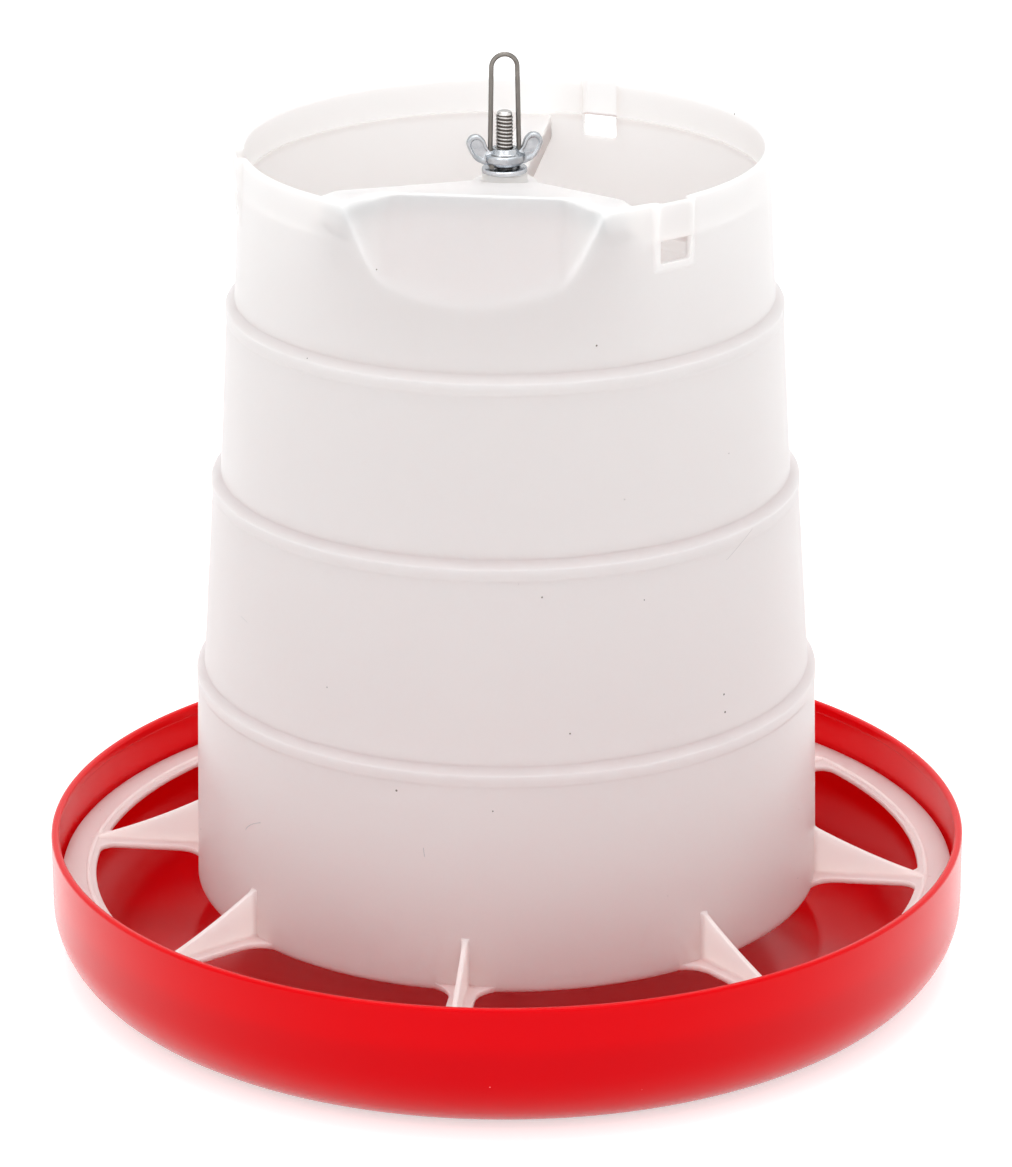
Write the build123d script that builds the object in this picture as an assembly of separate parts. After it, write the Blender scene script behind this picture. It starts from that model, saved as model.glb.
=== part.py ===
from build123d import *
from math import cos, pi, radians, sin, tan
import os

# Hanging poultry feeder: a red pan, a translucent hopper that is one moulding with its
# feed grill, and the threaded rod, nuts and wire loop that carry both.
# Millimetres, +Z up, origin on the floor below the middle of the pan. The bridge across
# the hopper's mouth lies along Y, with its wide half towards -Y.

# Pan
pan_diameter = 332.0
pan_height = 50.0
pan_wall = 2.2
pan_corner_radius = 32.0
pan_lip_height = 3.6
pan_lip_inset = 0.7
pan_lip_round_share = 0.4
cone_diameter = 231.0
cone_angle = 16.0
cone_top_radius = 15.0

# Hopper barrel: each tier's foot is wider than the rim, and its top is a share of the height
hopper_wall = 1.8
grill_top = 33.9
hopper_height = 270.4
rim_radius = 92.3
tier_shares = (0.288, 0.555, 0.79)
tier_flares = (20.6, 16.4, 8.9, 2.8)
tier_tapers = (1.6, 4.3, 3.1)
bead_proud = 0.5
bead_height = 4.5
shoulder_height = 2.6
barrel_corner = 0.45
ledge_depth = 13.0
ledge_width = 0.9
ledge_taper = 2.7

# Grill
grill_thickness = 2.2
grill_gap = 1.4
grill_ring_width = 12.0
ring_bead_radius = 0.9
ring_bead_inset = 2.8
fin_count = 8
fin_height = 18.0
fin_tip_on_ring = 5.0
fin_thickness = 2.0
fin_hollow = 1.2
spoke_width = 9.0
spoke_foot_radius = 10.0
spoke_ring_radius = 5.0

# Latch windows for the lid
latch_count = 3
latch_start_angle = 45.0
latch_width = 13.0
latch_proud = 2.3
latch_cheek = 1.8
latch_skin = 1.0
latch_window_height = 8.3
latch_window_corner = 1.5
latch_lip = 2.6
latch_foot_proud = 0.2
latch_edge_radius = 0.8

# Bridge and the pocket pressed into the wall in front of it
bridge_drop = 14.1
bridge_plate = 2.2
bridge_depth = 9.0
bridge_flange = 1.8
bridge_hub_radius = 13.0
bridge_fan_angle = 35.0
bridge_tail_width = 11.0
bridge_overrun_share = 1.15
pocket_reach_share = 0.731
pocket_width_share = 0.672
pocket_side_angle = 44.4
pocket_depth = 30.3
pocket_side_creep = 0.8
pocket_overrun = 12.0
pocket_corner_radius = 15.0
pocket_liner = 2.2
boss_diameter = 16.0
boss_height = 3.8
boss_flare = 1.2

# Rod and its fasteners, 1/4 in with 20 threads to the inch
rod_diameter = 6.12
rod_above_boss = 21.7
rod_below_nut = 3.0
rod_end_chamfer = 0.8
thread_fit = 0.05
rod_clearance = 0.35
hex_across_flats = 11.1
hex_height = 5.5
hex_corner_drop = 0.8
hex_corner_round = 0.5
washer_diameter = 15.9
washer_bore = 7.1
washer_thickness = 1.6

# Wing nut and wire loop
turning_gap = 0.3
wing_nut_base_radius = 6.8
wing_nut_collar_radius = 4.6
wing_nut_base_height = 2.6
wing_nut_shoulder = 1.0
wing_nut_edge = 0.5
wing_nut_height = 5.0
wing_span = 27.8
wing_height = 10.1
wing_tip_radius = 3.5
wing_belly_radius = 3.4
wing_belly_reach = 8.4
wing_belly_height = 3.7
wing_root_radius = 1.9
wing_thickness = 2.6
wing_recess = 0.45
wing_recess_inset = 1.1
wing_turn_angle = 16.8
wire_diameter = 1.7
wire_fit = 0.2
wire_loop_height = 40.7
wire_bow_radius = 4.55
wire_splay_angle = 1.0
wire_foot_length = 4.2
wire_bend_radius = 1.4

# Levels and radii that follow from the sizes above
pan_radius = pan_diameter / 2
cone_radius = cone_diameter / 2
cone_slope = radians(cone_angle)
cone_top = pan_wall + (cone_radius - cone_top_radius) * tan(cone_slope)
cone_underside = cone_top - pan_wall / cos(cone_slope)
rim_level = grill_top + hopper_height
tier_tops = [grill_top + share * hopper_height for share in tier_shares]
tier_foot_radii = [rim_radius + flare for flare in tier_flares]
pocket_reach = pocket_reach_share * rim_radius
pocket_half_width = pocket_width_share * rim_radius / 2
latch_height = ledge_depth + latch_window_height + latch_lip
barrel_foot = grill_top - grill_thickness
grill_radius = pan_radius - pan_wall - grill_gap
ring_inner_radius = grill_radius - grill_ring_width
bridge_level = rim_level - bridge_drop
boss_top = bridge_level + boss_height
boss_bottom = bridge_level - bridge_depth
rod_top = boss_top + rod_above_boss
rod_bottom = cone_underside - washer_thickness - hex_height - rod_below_nut
wing_nut_level = boss_top + washer_thickness + turning_gap + wire_diameter
wire_level = wing_nut_level - wire_diameter / 2
wire_leg_length = wire_loop_height - wire_bow_radius - wire_diameter
wire_foot_reach = wire_bow_radius + wire_leg_length * tan(radians(wire_splay_angle))


def revolved(section):
    """Solid of revolution about the Z axis of a section drawn in the XZ plane."""
    return revolve(section, axis=Axis.Z)


def wall_section(points, wall, radius):
    """Wall that follows a rising outer line of points, with its corners rounded."""
    settle = wall * tan(pi / 8)
    middle = [(r - wall, z - settle) for r, z in points[1:-1]]
    inner = [(points[0][0] - wall, points[0][1]), *middle, (points[-1][0] - wall, points[-1][1])]
    with BuildSketch(Plane.XZ) as section:
        with BuildLine():
            FilletPolyline(*points, radius=radius)
            FilletPolyline(*inner, radius=radius)
            Line(points[0], inner[0])
            Line(points[-1], inner[-1])
        make_face()
    return section.sketch


def around(part, count, start=0.0):
    """Copies of a part spaced evenly about the Z axis."""
    return [Rot(0, 0, start + i * 360 / count) * part for i in range(count)]


# Pan: one moulding turned from a thin section, with a thicker lip around its edge
def make_pan():
    inner = pan_corner_radius - pan_wall
    wall_face = pan_radius - pan_wall
    floor_edge = wall_face - inner
    under_foot = cone_top_radius + cone_underside / tan(cone_slope)
    lip_level = pan_height - pan_lip_height
    with BuildSketch(Plane.XZ) as section:
        with BuildLine():
            Polyline(
                (rod_diameter / 2 + rod_clearance, cone_underside),
                (rod_diameter / 2 + rod_clearance, cone_top),
                (cone_top_radius, cone_top),
                (cone_radius, pan_wall),
                (floor_edge, pan_wall),
            )
            RadiusArc((floor_edge, pan_wall), (wall_face, pan_corner_radius), -inner)
            Polyline(
                (wall_face, pan_corner_radius),
                (wall_face, lip_level - pan_lip_inset),
                (wall_face - pan_lip_inset, lip_level),
                (wall_face - pan_lip_inset, pan_height),
                (pan_radius, pan_height),
                (pan_radius, pan_corner_radius),
            )
            RadiusArc((pan_radius, pan_corner_radius), (floor_edge, 0), pan_corner_radius)
            Polyline(
                (floor_edge, 0),
                (under_foot, 0),
                (cone_top_radius, cone_underside),
                (rod_diameter / 2 + rod_clearance, cone_underside),
            )
        make_face()
        lip = section.vertices().filter_by(lambda v: abs(v.Z - pan_height) < 0.01)
        fillet(lip, (pan_wall + pan_lip_inset) * pan_lip_round_share)
    return revolved(section.sketch)


# Hopper barrel: four tapering tiers, each starting at a shoulder with a small bead under it
def barrel_outline():
    points = [(tier_foot_radii[0], barrel_foot)]
    tiers = zip(tier_tops, tier_foot_radii, tier_tapers, tier_foot_radii[1:])
    for bead_top, foot_radius, taper, next_radius in tiers:
        head_radius = foot_radius - taper
        points += [
            (head_radius, bead_top - bead_height),
            (head_radius + bead_proud, bead_top - bead_height + 2 * bead_proud),
            (head_radius + bead_proud, bead_top),
            (next_radius, bead_top + shoulder_height),
        ]
    points.append((rim_radius, rim_level))
    return points


def barrel_radius_at(level):
    """Outer radius of the barrel's top tier at a level."""
    top_tier_foot = tier_tops[-1] + shoulder_height
    share = (level - top_tier_foot) / (rim_level - top_tier_foot)
    return tier_foot_radii[-1] + share * (rim_radius - tier_foot_radii[-1])


def make_barrel():
    shell = revolved(wall_section(barrel_outline(), hopper_wall, barrel_corner))
    ledge_level = rim_level - ledge_depth
    face = barrel_radius_at(ledge_level) - hopper_wall
    ledge = Polygon(
        (face + hopper_wall / 2, ledge_level),
        (face - ledge_width, ledge_level),
        (face, ledge_level - ledge_taper),
        (face + hopper_wall / 2, ledge_level - ledge_taper),
        align=None,
    )
    return shell + revolved(Plane.XZ * ledge)


def barrel_envelope():
    """The barrel as a full solid, used to trim what is joined to it."""
    outline = barrel_outline()
    section = Polygon((0, barrel_foot), *outline, (0, rim_level), align=None)
    return revolved(Plane.XZ * section)


# Pocket pressed into the front wall, between a sloping back and two slanting sides
def make_pocket(grow=0.0):
    back_slope = (barrel_radius_at(rim_level - pocket_depth) - pocket_reach) / pocket_depth
    side_run = tan(radians(pocket_side_angle))
    sections = []
    for drop in (-pocket_overrun, pocket_depth + pocket_overrun):
        back = pocket_reach + drop * back_slope
        half_back = pocket_half_width - drop * pocket_side_creep + side_run * (back - pocket_reach)
        mouth = back + rim_radius
        half_mouth = half_back + side_run * rim_radius
        outline = Polygon(
            (-half_back, -back),
            (half_back, -back),
            (half_mouth, -mouth),
            (-half_mouth, -mouth),
            align=None,
        )
        corners = outline.vertices().sort_by(Axis.Y)[-2:]
        outline = fillet(corners, pocket_corner_radius)
        if grow:
            outline = offset(outline, grow)
        sections.append(Pos(0, 0, rim_level - drop) * outline)
    return loft(sections)


# Bridge: a fan that falls from the rim to a round hub, and a narrow tail to the back wall
def bridge_plan(inset=0.0):
    fan = radians(bridge_fan_angle)
    reach = bridge_overrun_share * rim_radius
    corner = (reach * sin(fan), -reach * cos(fan))
    plan = Polygon(
        (-bridge_hub_radius, 0),
        (-corner[0], corner[1]),
        corner,
        (bridge_hub_radius, 0),
        align=None,
    )
    plan += Circle(bridge_hub_radius)
    plan += Pos(0, rim_radius / 2) * Rectangle(bridge_tail_width, rim_radius)
    return offset(plan, -inset, kind=Kind.INTERSECTION) if inset else plan


def bridge_slab(top_offset, bottom_offset):
    """Slab under the bridge's top face, between two depths below it."""
    far = bridge_overrun_share * rim_radius
    face_line = [(far, bridge_level), (0, bridge_level), (-pocket_reach, rim_level), (-far, rim_level)]
    top = [(y, z - top_offset) for y, z in face_line]
    bottom = [(y, z - bottom_offset) for y, z in reversed(face_line)]
    profile = Polygon(*top, *bottom, align=None)
    return extrude(Plane.YZ * profile, far, both=True)


def make_bridge():
    tall = 4 * bridge_depth
    plan = Pos(0, 0, bridge_level - tall / 2) * bridge_plan()
    hollow_plan = Pos(0, 0, bridge_level - tall / 2) * bridge_plan(bridge_flange)
    bridge = extrude(plan, tall) & bridge_slab(0, bridge_depth)
    bridge -= extrude(hollow_plan, tall) & bridge_slab(bridge_plate, 2 * bridge_depth)
    foot = boss_diameter / 2 + boss_flare
    with BuildSketch(Plane.XZ) as boss:
        with BuildLine():
            Polyline(
                (0, boss_bottom),
                (0, boss_top),
                (boss_diameter / 2, boss_top),
                (boss_diameter / 2, bridge_level + boss_flare),
            )
            RadiusArc(
                (boss_diameter / 2, bridge_level + boss_flare),
                (foot, bridge_level),
                -boss_flare,
            )
            Polyline(
                (foot, bridge_level),
                (foot, bridge_level - bridge_plate),
                (boss_diameter / 2, bridge_level - bridge_plate),
                (boss_diameter / 2, boss_bottom),
                (0, boss_bottom),
            )
        make_face()
    return bridge & barrel_envelope(), revolved(boss.sketch)


# Latch window: a frame that stands proud at the rim, a channel down its inside and a window
def latch_face_at(drop):
    """Distance from the axis to a latch frame's flat face, at a depth below the rim."""
    foot = barrel_radius_at(rim_level - latch_height) + latch_foot_proud
    return rim_radius + latch_proud + drop / latch_height * (foot - rim_radius - latch_proud)


def latch_frame():
    width = latch_width + 2 * latch_cheek
    foot_level = rim_level - latch_height
    wall_middle = rim_radius - hopper_wall / 2
    side = Polygon(
        (-wall_middle, rim_level),
        (-latch_face_at(0), rim_level),
        (-latch_face_at(latch_height), foot_level),
        (-wall_middle, foot_level),
        align=None,
    )
    frame = extrude(Plane.YZ * side, width / 2, both=True)
    uprights = frame.faces().sort_by(Axis.Y)[0].edges().sort_by(Axis.X)
    return fillet([uprights[0], uprights[-1]], latch_edge_radius)


def latch_cut():
    inner = rim_radius - 3 * hopper_wall
    channel_depth = latch_face_at(ledge_depth) - latch_skin - inner
    corner = (Align.CENTER, Align.MAX, Align.MAX)
    channel = Pos(0, -inner, rim_level + hopper_wall) * Box(
        latch_width, channel_depth, ledge_depth + 2 * hopper_wall, align=corner
    )
    window = Pos(0, -inner, rim_level - ledge_depth) * Box(
        latch_width, 2 * channel_depth, latch_window_height, align=corner
    )
    uprights = window.edges().filter_by(Axis.Y)
    return channel + fillet(uprights.sort_by(Axis.Z)[:2], latch_window_corner)


# Grill: ring, spokes with broad feet on the barrel, and a thin upright fin on each spoke
def grill_plate():
    """Ring and spokes, cut from a disc by one gap between each pair of spokes."""
    foot_radius = tier_foot_radii[0]
    middle = (ring_inner_radius + foot_radius) / 2
    spoke = Pos(0, -middle) * Rectangle(spoke_width, 2 * (ring_inner_radius - foot_radius))
    gaps = Circle(ring_inner_radius) - Circle(foot_radius)
    for one_spoke in around(spoke, fin_count):
        gaps -= one_spoke
    feet = gaps.vertices().filter_by(lambda v: v.center().length < middle)
    gaps = fillet(feet, spoke_foot_radius)
    heads = gaps.vertices().filter_by(lambda v: v.center().length > ring_inner_radius - 0.01)
    gaps = fillet(heads, spoke_ring_radius)
    plate = Circle(grill_radius) - Circle(foot_radius - hopper_wall / 2) - gaps
    return extrude(Pos(0, 0, barrel_foot) * plate, grill_thickness)


def make_fin():
    root = tier_foot_radii[0] - hopper_wall / 2
    tip = ring_inner_radius + fin_tip_on_ring
    head = grill_top + fin_height
    sunk = grill_top - grill_thickness / 2
    with BuildSketch(Plane.YZ) as fin:
        with BuildLine():
            Polyline((-tip, grill_top), (-tip, sunk), (-root, sunk), (-root, head))
            SagittaArc((-root, head), (-tip, grill_top), fin_hollow)
        make_face()
    return extrude(fin.sketch, fin_thickness / 2, both=True)


def make_grill():
    bead_ring = ring_inner_radius + ring_bead_inset
    bead = revolved(Plane.XZ * Pos(bead_ring, grill_top) * Circle(ring_bead_radius))
    parts = [bead, *around(make_fin(), fin_count)]
    return grill_plate() + parts


# Hopper: barrel, grill, bridge, pocket and latch windows as one moulding
def make_hopper():
    bridge, boss = make_bridge()
    liner = make_pocket(pocket_liner) & barrel_envelope()
    latches = around(latch_frame(), latch_count, latch_start_angle)
    hopper = make_barrel() + [make_grill(), bridge, liner, *latches]
    hopper -= make_pocket()
    hopper += boss
    bore = Cylinder(rod_diameter / 2 + rod_clearance, 4 * bridge_depth)
    hopper -= Pos(0, 0, bridge_level) * bore
    for cut in around(latch_cut(), latch_count, latch_start_angle):
        hopper -= cut
    return hopper


# Rod, and the standard nuts and washers on it
def make_rod():
    length = rod_top - rod_bottom
    rod = Pos(0, 0, rod_bottom + length / 2) * Cylinder(rod_diameter / 2, length)
    return chamfer(rod.edges().filter_by(GeomType.CIRCLE), rod_end_chamfer)


def make_washer(level):
    washer = Cylinder(washer_diameter / 2, washer_thickness) - Cylinder(
        washer_bore / 2, washer_thickness
    )
    return Pos(0, 0, level + washer_thickness / 2) * washer


def make_hex_nut(level):
    corner = hex_across_flats / 2 / cos(pi / 6)
    hexagon = RegularPolygon(hex_across_flats / 2, 6, major_radius=False)
    nut = extrude(hexagon, hex_height / 2, both=True)
    round_off = Cylinder(corner, hex_height)
    rims = round_off.edges().filter_by(GeomType.CIRCLE)
    round_off = chamfer(rims, hex_corner_drop, hex_corner_round)
    nut = nut & round_off
    nut -= Cylinder(rod_diameter / 2 + thread_fit, hex_height)
    return Pos(0, 0, level + hex_height / 2) * nut


# Wing nut: a turned hub with two dished wings, drilled at the wing roots for the wire
def make_wing():
    tip = (wing_span / 2 - wing_tip_radius, wing_height - wing_tip_radius)
    with BuildSketch(Plane.XZ) as lobe:
        with Locations(tip):
            Circle(wing_tip_radius)
        with Locations((wing_belly_reach, wing_belly_height)):
            Circle(wing_belly_radius)
        with Locations((wing_nut_collar_radius, wing_root_radius)):
            Circle(wing_root_radius)
        make_hull()
    wing = extrude(lobe.sketch, wing_thickness / 2, both=True)
    dish = offset(lobe.sketch, -wing_recess_inset)
    for side in (1, -1):
        face = Pos(0, side * (wing_thickness - wing_recess) / 2, 0) * dish
        wing -= extrude(face, wing_recess / 2, both=True)
    return wing


def make_wing_nut():
    base, collar = wing_nut_base_radius, wing_nut_collar_radius
    hub = Polygon(
        (0, 0),
        (base - wing_nut_edge, 0),
        (base, wing_nut_edge),
        (base, wing_nut_base_height - wing_nut_edge),
        (base - wing_nut_edge, wing_nut_base_height),
        (collar, wing_nut_base_height + wing_nut_shoulder),
        (collar, wing_nut_height - wing_nut_edge),
        (collar - wing_nut_edge, wing_nut_height),
        (0, wing_nut_height),
        align=None,
    )
    hub = revolved(Plane.XZ * hub)
    wing = make_wing()
    nut = hub + [wing, Rot(0, 0, 180) * wing]
    nut -= Pos(0, 0, wing_height / 2) * Cylinder(rod_diameter / 2 + thread_fit, 2 * wing_height)
    wire_hole = Cylinder(wire_diameter / 2 + wire_fit, 2 * wing_height)
    for side in (1, -1):
        nut -= Pos(side * wire_foot_reach, 0, wing_height / 2) * wire_hole
    return Pos(0, 0, wing_nut_level) * Rot(0, 0, wing_turn_angle) * nut


# Wire loop: one bent wire whose two feet are turned aside under the wing nut
def make_wire():
    splay = radians(wire_splay_angle)
    bow_level = wire_level + wire_leg_length
    shoulder = (wire_bow_radius * cos(splay), 0, bow_level + wire_bow_radius * sin(splay))
    foot = shoulder[0] + (shoulder[2] - wire_level) * tan(splay)
    with BuildLine() as path:
        leg = FilletPolyline(
            (foot, wire_foot_length, wire_level),
            (foot, 0, wire_level),
            shoulder,
            radius=wire_bend_radius,
        )
        ThreePointArc(
            shoulder,
            (0, 0, bow_level + wire_bow_radius),
            (-shoulder[0], 0, shoulder[2]),
        )
        FilletPolyline(
            (-shoulder[0], 0, shoulder[2]),
            (-foot, 0, wire_level),
            (-foot, -wire_foot_length, wire_level),
            radius=wire_bend_radius,
        )
    start = Plane(leg @ 0, z_dir=leg % 0)
    wire = sweep(start * Circle(wire_diameter / 2), path=path.wire())
    return Rot(0, 0, wing_turn_angle) * wire


nodes = {
    "pan": make_pan(),
    "hopper": make_hopper(),
    "threaded_rod": make_rod(),
    "pan_nuts": Compound(
        [
            make_hex_nut(cone_top + washer_thickness),
            make_hex_nut(rod_bottom + rod_below_nut),
        ]
    ),
    "pan_washers": Compound(
        [
            make_washer(cone_top),
            make_washer(rod_bottom + rod_below_nut + hex_height),
        ]
    ),
    "bridge_washers": Compound(
        [
            make_washer(boss_top),
            make_washer(boss_bottom - washer_thickness),
        ]
    ),
    "bridge_nut": make_hex_nut(boss_bottom - washer_thickness - turning_gap - hex_height),
    "wing_nut": make_wing_nut(),
    "wire_hanger": make_wire(),
}

os.makedirs("parts", exist_ok=True)
for name, solid in nodes.items():
    export_step(solid, f"parts/{name}.step")
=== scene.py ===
from math import copysign, cos, pi, radians, sin, sqrt, tan

import bmesh
import bpy
import numpy as np
from mathutils import Matrix, Vector


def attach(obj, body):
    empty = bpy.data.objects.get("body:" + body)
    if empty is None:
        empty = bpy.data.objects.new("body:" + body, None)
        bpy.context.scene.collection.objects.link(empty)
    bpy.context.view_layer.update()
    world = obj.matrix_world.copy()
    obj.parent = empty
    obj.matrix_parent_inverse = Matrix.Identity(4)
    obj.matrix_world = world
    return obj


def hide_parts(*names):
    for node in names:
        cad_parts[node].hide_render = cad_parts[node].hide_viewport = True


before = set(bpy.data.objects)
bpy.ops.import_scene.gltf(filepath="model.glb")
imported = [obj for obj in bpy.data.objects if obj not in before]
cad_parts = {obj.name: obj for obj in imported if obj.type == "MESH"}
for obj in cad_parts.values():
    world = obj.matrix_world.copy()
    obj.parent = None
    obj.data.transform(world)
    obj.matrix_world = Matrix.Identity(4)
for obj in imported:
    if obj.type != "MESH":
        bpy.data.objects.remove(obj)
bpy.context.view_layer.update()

# Sizes in millimetres; each mesh is made from them and set in metres
MM = 0.001
rim_level = 304.3
rim_radius = 92.3
hopper_wall = 1.8
grill_top = 33.9
barrel_foot = 31.7
barrel_foot_radius = 112.9
rod_top = 315.7
rod_bottom = 18.63
rod_hole = 3.41
nut_bore = 3.11
bridge_level = 290.2
boss_top = 294.0
boss_bottom = 281.2
pocket_back = 67.47
pocket_side = 35.05
pocket_side_run = tan(radians(44.4))
fin_head = 51.9
wing_nut_level = 297.6
wing_turn = radians(16.8)
cone_top = 31.02
cone_underside = 28.73
washer_thickness = 1.6
nut_height = 5.5
nut_gap = 0.3


# Outlines and mesh making
def arc_points(middle, start, end, steps):
    """Points along the shorter arc about a middle, from start to end."""
    first, last = start - middle, end - middle
    sweep = np.arctan2(first.x * last.y - first.y * last.x, first.dot(last))
    turns = [Matrix.Rotation(sweep * step / steps, 2) for step in range(steps + 1)]
    return [tuple(middle + turn @ first) for turn in turns]


def rounded(corners, steps=4, closed=True):
    """Outline in which each corner (x, y, radius) becomes an arc."""
    outline = []
    count = len(corners)
    for i, (x, y, radius) in enumerate(corners):
        here = Vector((x, y))
        at_end = not closed and i in (0, count - 1)
        if radius == 0 or at_end:
            outline.append((x, y))
            continue
        back = Vector(corners[i - 1][:2]) - here
        ahead = Vector(corners[(i + 1) % count][:2]) - here
        half = back.angle(ahead) / 2
        reach = min(radius / tan(half), 0.49 * back.length, 0.49 * ahead.length)
        radius = reach * tan(half)
        middle = here + (back.normalized() + ahead.normalized()).normalized() * radius / sin(half)
        start = here + back.normalized() * reach
        end = here + ahead.normalized() * reach
        outline += arc_points(middle, start, end, steps)
    return outline


def add_piece(name, data):
    piece = bpy.data.objects.new(name, data)
    bpy.context.scene.collection.objects.link(piece)
    return piece


def close_up(mesh, reach, lift=0):
    """Merges points that meet within a reach, turns the faces outwards and lifts the mesh."""
    bm = bmesh.new()
    bm.from_mesh(mesh)
    bmesh.ops.translate(bm, verts=bm.verts, vec=(0, 0, lift))
    bmesh.ops.remove_doubles(bm, verts=bm.verts, dist=reach)
    bmesh.ops.recalc_face_normals(bm, faces=bm.faces)
    bm.to_mesh(mesh)
    bm.free()


def make_piece(name, points, faces):
    """Closed piece from points in millimetres, smooth."""
    mesh = bpy.data.meshes.new(name)
    mesh.from_pydata([(x * MM, y * MM, z * MM) for x, y, z in points], [], faces)
    close_up(mesh, 1e-7)
    mesh.shade_smooth()
    return add_piece(name, mesh)


def lathe(name, section, segments):
    """A closed section (radius, height) turned about the rod's axis."""
    count = len(section)
    points = []
    for i in range(segments):
        angle = 2 * pi * i / segments
        points += [(r * cos(angle), r * sin(angle), z) for r, z in section]
    faces = []
    for i in range(segments):
        here = i * count
        there = (i + 1) % segments * count
        for j in range(count):
            k = (j + 1) % count
            faces.append((here + j, here + k, there + k, there + j))
    return make_piece(name, points, faces)


def settle(piece):
    """Puts the result of a piece's modifiers into a plain mesh."""
    graph = bpy.context.evaluated_depsgraph_get()
    mesh = bpy.data.meshes.new_from_object(piece.evaluated_get(graph))
    piece.modifiers.clear()
    piece.data = mesh
    mesh.shade_smooth()


def cut_sheet(name, outlines, bottom, top, edge):
    """Flat sheet between closed outlines, with its edges rounded."""
    curve = bpy.data.curves.new(name, "CURVE")
    curve.dimensions = "2D"
    curve.fill_mode = "BOTH"
    curve.extrude = ((top - bottom) / 2 - edge) * MM
    curve.bevel_depth = edge * MM
    curve.bevel_resolution = 2
    curve.offset = -edge * MM
    for outline in outlines:
        spline = curve.splines.new("POLY")
        spline.points.add(len(outline) - 1)
        for point, (x, y) in zip(spline.points, outline):
            point.co = (x * MM, y * MM, 0, 1)
        spline.use_cyclic_u = True
    holder = add_piece(name, curve)
    graph = bpy.context.evaluated_depsgraph_get()
    mesh = bpy.data.meshes.new_from_object(holder.evaluated_get(graph))
    bpy.data.objects.remove(holder)
    close_up(mesh, 1e-6, lift=(top + bottom) / 2 * MM)
    return add_piece(name, mesh)


def weld(piece, others, operation="UNION"):
    """Joins other closed pieces to this one as one solid moulding."""
    for other in others:
        joiner = piece.modifiers.new("weld", "BOOLEAN")
        joiner.object = other
        joiner.operation = operation
        joiner.solver = "MANIFOLD"
    settle(piece)
    for other in others:
        bpy.data.objects.remove(other)


def join(piece, others):
    """Adds the meshes of other pieces to this one."""
    bm = bmesh.new()
    bm.from_mesh(piece.data)
    for other in others:
        bm.from_mesh(other.data)
        bpy.data.objects.remove(other)
    bm.to_mesh(piece.data)
    bm.free()
    piece.data.shade_smooth()


def soften_edges(piece, angle):
    """Keeps edges sharper than the angle crisp in the shading."""
    piece.data.set_sharp_from_angle(angle=radians(angle))


# Trees that repeat a piece or run one along a path
def add(tree, kind, links=None, **settings):
    """A node with its sockets fed by links or set to values."""
    node = tree.nodes.new(kind)
    for name, value in settings.items():
        setattr(node, name, value)
    for name, value in (links or {}).items():
        if isinstance(value, bpy.types.NodeSocket):
            tree.links.new(value, node.inputs[name])
        else:
            node.inputs[name].default_value = value
    return node


def new_tree(name, sizes):
    """Empty geometry tree with a named input for each size."""
    tree = bpy.data.node_groups.new(name, "GeometryNodeTree")
    tree.interface.new_socket("Geometry", in_out="INPUT", socket_type="NodeSocketGeometry")
    for size, kind in sizes.items():
        tree.interface.new_socket(size, in_out="INPUT", socket_type=f"NodeSocket{kind}")
    tree.interface.new_socket("Geometry", in_out="OUTPUT", socket_type="NodeSocketGeometry")
    return tree, tree.nodes.new("NodeGroupInput"), tree.nodes.new("NodeGroupOutput")


def finish_tree(tree, outlet, made, given):
    """Ends a tree with real geometry in the piece's material."""
    realized = add(tree, "GeometryNodeRealizeInstances", {"Geometry": made})
    smooth = add(tree, "GeometryNodeSetShadeSmooth", {"Geometry": realized.outputs[0]})
    coated = add(
        tree,
        "GeometryNodeSetMaterial",
        {"Geometry": smooth.outputs[0], "Material": given.outputs["Material"]},
    )
    tree.links.new(coated.outputs[0], outlet.inputs["Geometry"])


def grow(name, tree, **values):
    """A piece made by a geometry tree with these values, as a plain mesh."""
    piece = add_piece(name, bpy.data.meshes.new(name))
    maker = piece.modifiers.new("maker", "NODES")
    maker.node_group = tree
    for item in tree.interface.items_tree:
        if item.in_out == "INPUT" and item.name in values:
            maker[item.identifier] = values[item.name]
    settle(piece)
    return piece


# Pan: one moulding, a cone inside a trough with a lipped wall
pan_radius = 166.0
pan_height = 50.0
pan_wall = 2.2
lip_wall = 2.9
pan_turn = 32.0
seat_radius = 15.0


def make_pan():
    """The pan's section, from the rod's hole over the cone and trough to the lip and back below."""
    section = rounded(
        [
            (rod_hole, cone_underside, 0),
            (rod_hole, cone_top, 0.3),
            (seat_radius, cone_top, 4.0),
            (115.5, pan_wall, 9.0),
            (pan_radius - pan_wall, pan_wall, pan_turn - pan_wall),
            (pan_radius - pan_wall, 45.9, 0.8),
            (pan_radius - lip_wall, 46.4, 0.6),
            (pan_radius - lip_wall, pan_height, 1.2),
            (pan_radius, pan_height, 1.2),
            (pan_radius, 0.0, pan_turn),
            (115.2, 0.0, 3.0),
            (seat_radius, cone_underside, 2.0),
        ],
        steps=12,
    )
    return lathe("Pan", section, 288)


# Hopper barrel: tapering tiers, each starting at a shoulder with a bead under it
barrel_corners = [
    (barrel_foot_radius, barrel_foot),
    (111.3, 107.3),
    (111.58, 108.1),
    (111.58, 111.8),
    (108.7, 114.4),
    (104.4, 179.5),
    (104.68, 180.3),
    (104.68, 184.0),
    (101.2, 186.6),
    (98.1, 243.1),
    (98.38, 243.9),
    (98.38, 247.6),
    (95.1, 250.2),
    (rim_radius, rim_level),
]
bead_round = 0.55
shortest_tier = 20.0
foot_round = 0.6
rim_round = 0.6
fine_step = 0.8

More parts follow.
